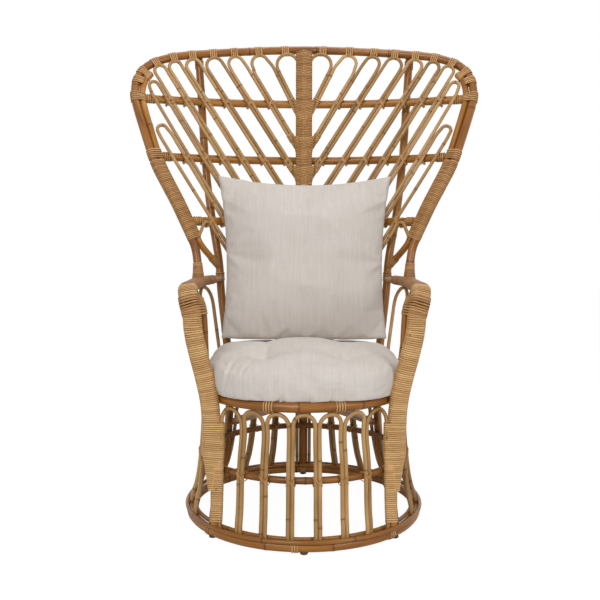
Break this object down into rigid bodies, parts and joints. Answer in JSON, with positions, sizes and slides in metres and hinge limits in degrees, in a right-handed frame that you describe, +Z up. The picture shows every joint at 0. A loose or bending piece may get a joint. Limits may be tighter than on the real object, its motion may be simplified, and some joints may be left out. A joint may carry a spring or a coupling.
{
  "type": "peacock chair",
  "caption": "High-backed rattan armchair: flared fan back of bent canes, wound arms and a waisted drum base, with a loose seat cushion and back pillow.",
  "frame": {"origin": "on the floor, under the middle of the whole chair's width and depth", "axes": "+X to the right of a viewer who faces the chair's front, +Y towards the chair's back, +Z up"},
  "size_m": [1.044, 0.7596, 1.3514],
  "materials": {
    "frame_pole": "varnished rattan pole, glossy honey brown",
    "rail_pole": "varnished rattan pole, satin",
    "cane": "peeled cane, satin tan",
    "binding": "wound strips of rattan skin, satin gold",
    "deck": "unpolished rattan",
    "linen": "matt light grey linen weave"
  },
  "bodies": {
    "chair_frame": {"base_hoop": "frame_pole", "outer_foot_ring": "rail_pole", "inner_foot_ring": "rail_pole", "waist_hoop": "rail_pole", "seat_hoop": "frame_pole", "seat_deck": "deck", "front_arches": "cane", "rim_pole": "frame_pole", "spine_pole": "frame_pole", "spine_binding": "binding", "upper_rail": "rail_pole", "middle_rail": "rail_pole", "lower_rail": "rail_pole", "side_arches_right": "cane", "back_arches_right": "cane", "rear_upright_right": "frame_pole", "seat_brace_right": "rail_pole", "arm_pole_right": "frame_pole", "outer_arm_pole_right": "frame_pole", "arm_binding_right": "binding", "leg_binding_right": "binding", "arm_stay_right": "frame_pole", "arm_arches_right": "cane", "inner_wing_pole_right": "frame_pole", "wing_binding_right": "binding", "side_arches_left": "cane", "back_arches_left": "cane", "rear_upright_left": "frame_pole", "seat_brace_left": "rail_pole", "arm_pole_left": "frame_pole", "outer_arm_pole_left": "frame_pole", "arm_binding_left": "binding", "leg_binding_left": "binding", "arm_stay_left": "frame_pole", "arm_arches_left": "cane", "inner_wing_pole_left": "frame_pole", "wing_binding_left": "binding", "fan_cane_right_1": "cane", "fan_cane_right_2": "cane", "fan_cane_right_3": "cane", "fan_cane_right_4": "cane", "fan_cane_right_5": "cane", "fan_cane_right_6": "cane", "fan_cane_right_7": "cane", "fan_cane_right_8": "cane", "fan_cane_right_9": "cane", "fan_cane_right_10": "cane", "fan_cane_left_1": "cane", "fan_cane_left_2": "cane", "fan_cane_left_3": "cane", "fan_cane_left_4": "cane", "fan_cane_left_5": "cane", "fan_cane_left_6": "cane", "fan_cane_left_7": "cane", "fan_cane_left_8": "cane", "fan_cane_left_9": "cane", "fan_cane_left_10": "cane"},
    "seat_cushion": {"seat_cushion": "linen"},
    "back_pillow": {"back_pillow": "linen"}
  },
  "joints": [
    {"name": "seat_cushion_lift", "type": "slide", "parent": "chair_frame", "child": "seat_cushion", "axis": [0, 0, 1], "range_m": [0, 0.12]},
    {"name": "back_pillow_lift", "type": "slide", "parent": "seat_cushion", "child": "back_pillow", "axis": [0, 0.1219, 0.9925], "range_m": [0, 0.3]}
  ]
}
